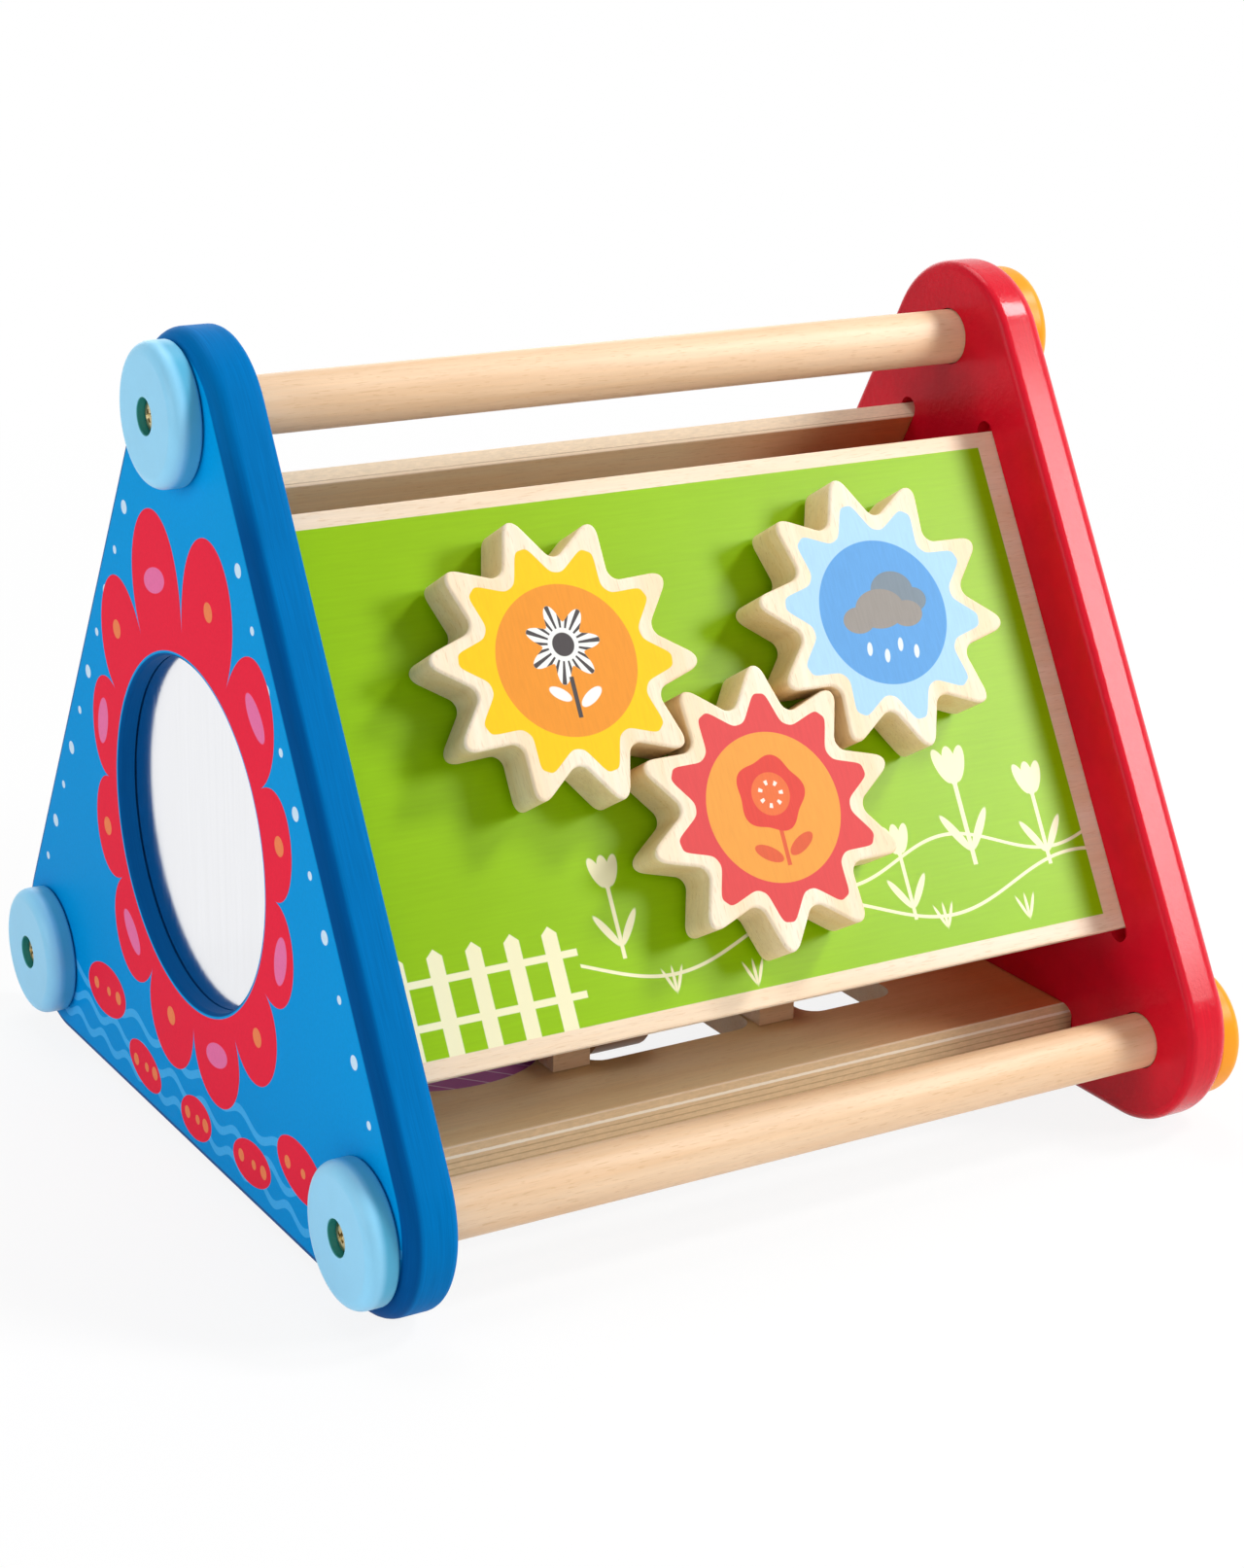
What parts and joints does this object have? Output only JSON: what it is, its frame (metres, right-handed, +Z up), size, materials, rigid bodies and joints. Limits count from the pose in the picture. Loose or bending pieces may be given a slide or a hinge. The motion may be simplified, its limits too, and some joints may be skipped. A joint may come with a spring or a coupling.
{
  "type": "activity box",
  "caption": "Triangular wooden toddler activity box: painted rounded end panels joined by dowels, meshing star gears on one side, a round mirror in one end and a roller over the floor.",
  "frame": {"origin": "bottom centre of the box, on the surface it stands on", "axes": "+X along the dowels towards the red end panel, -Y towards the gear side, +Z up"},
  "size_m": [0.2594, 0.2428, 0.2177],
  "materials": {
    "blue_paint": "satin paint on wood",
    "red_paint": "gloss paint on wood",
    "light_blue_paint": "satin paint on wood",
    "orange_paint": "satin paint on wood",
    "dark_red_paint": "satin paint on wood",
    "beech": "clear satin varnish",
    "plywood": "clear satin varnish",
    "brown_wood": "stained",
    "green_print": "printed plywood",
    "yellow_print": "printed wood",
    "blue_print": "printed wood",
    "red_print": "printed wood",
    "zinc_steel": "zinc plated",
    "mirror_sheet": "polished",
    "hardboard": "raw board",
    "fibre": "fibre washer"
  },
  "bodies": {
    "frame": {"handle_dowel": "beech", "front_dowel": "beech", "rear_dowel": "beech", "blue_end_panel": "blue_paint", "blue_top_cap": "light_blue_paint", "blue_top_screw": "zinc_steel", "blue_front_cap": "light_blue_paint", "blue_front_screw": "zinc_steel", "blue_rear_cap": "light_blue_paint", "blue_rear_screw": "zinc_steel", "red_end_panel": "red_paint", "red_top_cap": "orange_paint", "red_top_screw": "zinc_steel", "red_front_cap": "orange_paint", "red_front_screw": "zinc_steel", "red_rear_cap": "orange_paint", "red_rear_screw": "zinc_steel", "mirror": "mirror_sheet", "mirror_backing": "hardboard", "gear_panel": "green_print", "rear_panel": "plywood", "floor_panel": "plywood", "left_rod_support": "beech", "left_support_screw": "zinc_steel", "left_rod_cap": "dark_red_paint", "right_rod_support": "beech", "right_support_screw": "zinc_steel", "right_rod_cap": "dark_red_paint", "roller_rod": "beech"},
    "red_gear_set": {"red_gear": "red_print", "red_gear_shaft": "beech", "red_gear_spacer": "fibre", "red_gear_retainer": "beech", "red_gear_screw": "zinc_steel"},
    "yellow_gear_set": {"yellow_gear": "yellow_print", "yellow_gear_shaft": "beech", "yellow_gear_spacer": "fibre", "yellow_gear_retainer": "beech", "yellow_gear_screw": "zinc_steel"},
    "blue_gear_set": {"blue_gear": "blue_print", "blue_gear_shaft": "beech", "blue_gear_spacer": "fibre", "blue_gear_retainer": "beech", "blue_gear_screw": "zinc_steel"},
    "bush": {"roller_bush": "fibre"},
    "roller": {"roller": "brown_wood"}
  },
  "joints": [
    {"name": "red_gear_turn", "type": "hinge", "parent": "frame", "child": "red_gear_set", "pos_m": [0.001, -0.06896, 0.09516], "axis": [0, -0.866, 0.5], "continuous": true},
    {"name": "yellow_gear_turn", "type": "hinge", "parent": "frame", "child": "yellow_gear_set", "pos_m": [-0.04593, -0.04669, 0.13373], "axis": [0, -0.866, 0.5], "continuous": true},
    {"name": "blue_gear_turn", "type": "hinge", "parent": "frame", "child": "blue_gear_set", "pos_m": [0.04793, -0.04669, 0.13373], "axis": [0, -0.866, 0.5], "continuous": true},
    {"name": "roller_slide", "type": "slide", "parent": "frame", "child": "bush", "axis": [1, 0, 0], "range_m": [0, 0.0323]},
    {"name": "roller_turn", "type": "hinge", "parent": "bush", "child": "roller", "pos_m": [-0.0177, -0.03, 0.0346], "axis": [1, 0, 0], "continuous": true}
  ],
  "couplings": [
    {"joint": "yellow_gear_turn", "follows": "red_gear_turn", "ratio": -1},
    {"joint": "blue_gear_turn", "follows": "red_gear_turn", "ratio": -1}
  ]
}
